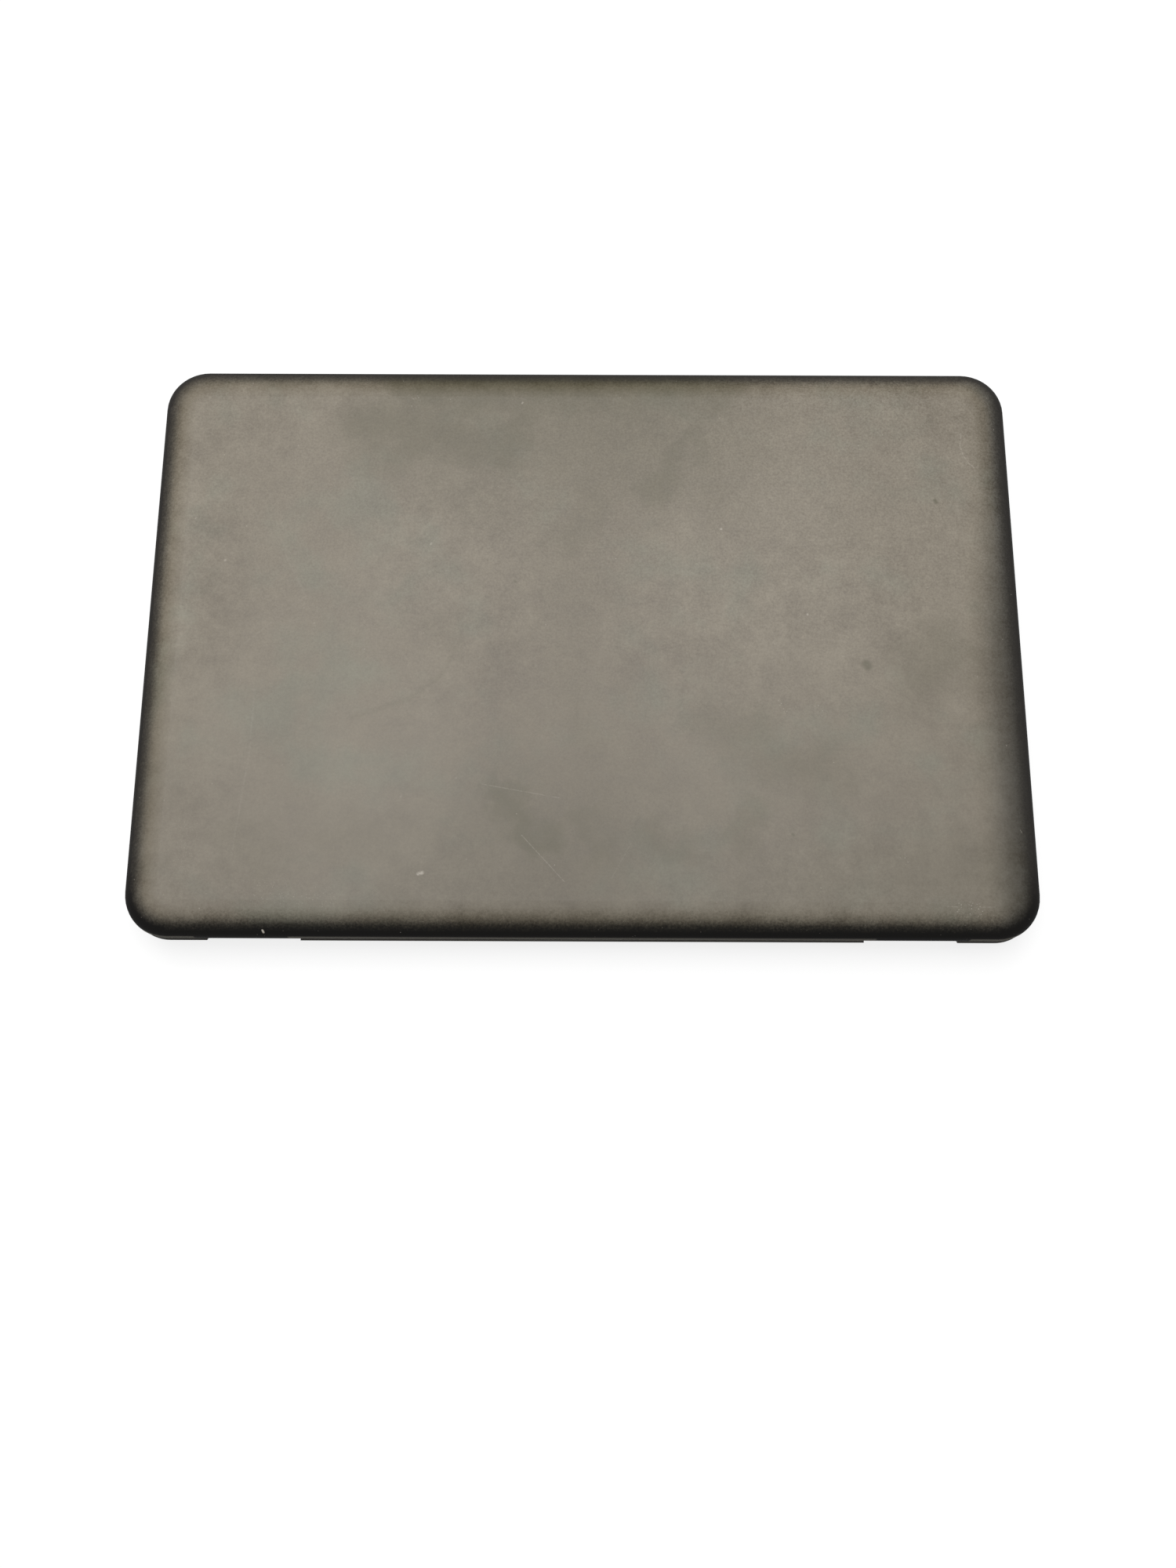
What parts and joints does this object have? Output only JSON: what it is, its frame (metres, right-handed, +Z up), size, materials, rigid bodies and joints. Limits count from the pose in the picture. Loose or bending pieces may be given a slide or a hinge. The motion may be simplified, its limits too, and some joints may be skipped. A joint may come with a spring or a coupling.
{
  "type": "laptop computer",
  "caption": "Closed clamshell laptop with a rolled-edge matte lid that swings on two drop hinges, a keyboard, a touchpad and side sockets, standing on rubber feet.",
  "frame": {"origin": "on the table under the middle of the closed machine", "axes": "+X to the user's right, +Y from the front edge to the hinges, +Z up"},
  "size_m": [0.303, 0.206, 0.0208],
  "materials": {
    "lid_plastic": "matte fine grain, worn",
    "case_plastic": "matte fine grain",
    "bezel_plastic": "matte fine grain",
    "key_plastic": "satin",
    "touchpad_surface": "smooth matte",
    "screen": "anti-glare satin",
    "lens_glass": "gloss",
    "light_pipe": "frosted",
    "rubber": "matte",
    "hinge_steel": "plain",
    "screw_steel": "black oxide",
    "sheet_metal": "stamped",
    "socket_metal": "nickel plate",
    "jack_plastic": "moulded",
    "circuit_board": "solder mask",
    "chip_plastic": "moulded",
    "spreader_aluminium": "plain",
    "battery_wrap": "film",
    "speaker_plastic": "moulded",
    "membrane_film": "film",
    "cable_jacket": "film"
  },
  "bodies": {
    "base": {"palm_rest": "case_plastic", "bottom_cover": "case_plastic", "rubber_feet": "rubber", "bottom_screws": "screw_steel", "hinge_bracket_left": "hinge_steel", "hinge_bracket_right": "hinge_steel", "hinge_bracket_screws": "screw_steel", "keyboard_lattice": "bezel_plastic", "key_membrane": "membrane_film", "keyboard_plate": "sheet_metal", "touchpad_bracket": "sheet_metal", "motherboard": "circuit_board", "board_chips": "chip_plastic", "heat_spreader": "spreader_aluminium", "ssd_module": "circuit_board", "wifi_card": "circuit_board", "coin_cell": "socket_metal", "board_screws": "screw_steel", "battery_pack": "battery_wrap", "speaker_left": "speaker_plastic", "speaker_right": "speaker_plastic", "io_board": "circuit_board", "usb_c_port": "socket_metal", "hdmi_port": "socket_metal", "usb_port_left": "socket_metal", "usb_port_right": "socket_metal", "audio_jack": "jack_plastic", "lock_slot_plate": "hinge_steel", "status_light": "light_pipe", "display_cable_base": "cable_jacket"},
    "lid": {"lid_back_cover": "lid_plastic", "lid_bezel": "bezel_plastic", "hinge_covers": "bezel_plastic", "lcd_cell": "screen", "backlight_unit": "sheet_metal", "lcd_driver_board": "circuit_board", "webcam_board": "circuit_board", "webcam_lens": "lens_glass", "lid_bumpers": "rubber", "wifi_antennas": "membrane_film", "hinge_arm_left": "hinge_steel", "hinge_arm_right": "hinge_steel", "hinge_pin_left": "hinge_steel", "hinge_pin_right": "hinge_steel", "hinge_nuts": "hinge_steel", "hinge_arm_screws": "screw_steel", "display_cable_lid": "cable_jacket"},
    "touchpad": {"touchpad": "touchpad_surface"},
    "power_button": {"power_button": "case_plastic"},
    "function_keys": {"function_keys": "key_plastic"},
    "number_keys": {"number_keys": "key_plastic"},
    "backspace_key": {"backspace_key": "key_plastic"},
    "upper_letter_keys": {"upper_letter_keys": "key_plastic"},
    "home_letter_keys": {"home_letter_keys": "key_plastic"},
    "enter_key": {"enter_key": "key_plastic"},
    "lower_letter_keys": {"lower_letter_keys": "key_plastic"},
    "modifier_keys": {"modifier_keys": "key_plastic"},
    "space_bar": {"space_bar": "key_plastic"},
    "arrow_keys": {"arrow_keys": "key_plastic"}
  },
  "joints": [
    {"name": "lid_hinge", "type": "hinge", "parent": "base", "child": "lid", "pos_m": [0, 0.0967, 0.0148], "axis": [-1, 0, 0], "range_deg": [0, 135]},
    {"name": "touchpad_click", "type": "hinge", "parent": "base", "child": "touchpad", "pos_m": [0, -0.04055, 0.0136], "axis": [1, 0, 0], "range_deg": [0, 0.55], "stiffness_Nm_per_rad": 3, "springref_deg": -0.34},
    {"name": "power_press", "type": "slide", "parent": "base", "child": "power_button", "axis": [0, 0, -1], "range_m": [0, 0.0005], "stiffness_N_per_m": 400, "springref_m": -0.0008},
    {"name": "function_press", "type": "slide", "parent": "base", "child": "function_keys", "axis": [0, 0, -1], "range_m": [0, 0.0012], "stiffness_N_per_m": 300, "springref_m": -0.001},
    {"name": "number_press", "type": "slide", "parent": "base", "child": "number_keys", "axis": [0, 0, -1], "range_m": [0, 0.0012], "stiffness_N_per_m": 300, "springref_m": -0.001},
    {"name": "backspace_press", "type": "slide", "parent": "base", "child": "backspace_key", "axis": [0, 0, -1], "range_m": [0, 0.0012], "stiffness_N_per_m": 300, "springref_m": -0.001},
    {"name": "upper_letter_press", "type": "slide", "parent": "base", "child": "upper_letter_keys", "axis": [0, 0, -1], "range_m": [0, 0.0012], "stiffness_N_per_m": 300, "springref_m": -0.001},
    {"name": "home_letter_press", "type": "slide", "parent": "base", "child": "home_letter_keys", "axis": [0, 0, -1], "range_m": [0, 0.0012], "stiffness_N_per_m": 300, "springref_m": -0.001},
    {"name": "enter_press", "type": "slide", "parent": "base", "child": "enter_key", "axis": [0, 0, -1], "range_m": [0, 0.0012], "stiffness_N_per_m": 300, "springref_m": -0.001},
    {"name": "lower_letter_press", "type": "slide", "parent": "base", "child": "lower_letter_keys", "axis": [0, 0, -1], "range_m": [0, 0.0012], "stiffness_N_per_m": 300, "springref_m": -0.001},
    {"name": "modifier_press", "type": "slide", "parent": "base", "child": "modifier_keys", "axis": [0, 0, -1], "range_m": [0, 0.0012], "stiffness_N_per_m": 300, "springref_m": -0.001},
    {"name": "space_bar_press", "type": "slide", "parent": "base", "child": "space_bar", "axis": [0, 0, -1], "range_m": [0, 0.0012], "stiffness_N_per_m": 300, "springref_m": -0.001},
    {"name": "arrow_press", "type": "slide", "parent": "base", "child": "arrow_keys", "axis": [0, 0, -1], "range_m": [0, 0.0012], "stiffness_N_per_m": 300, "springref_m": -0.001}
  ]
}
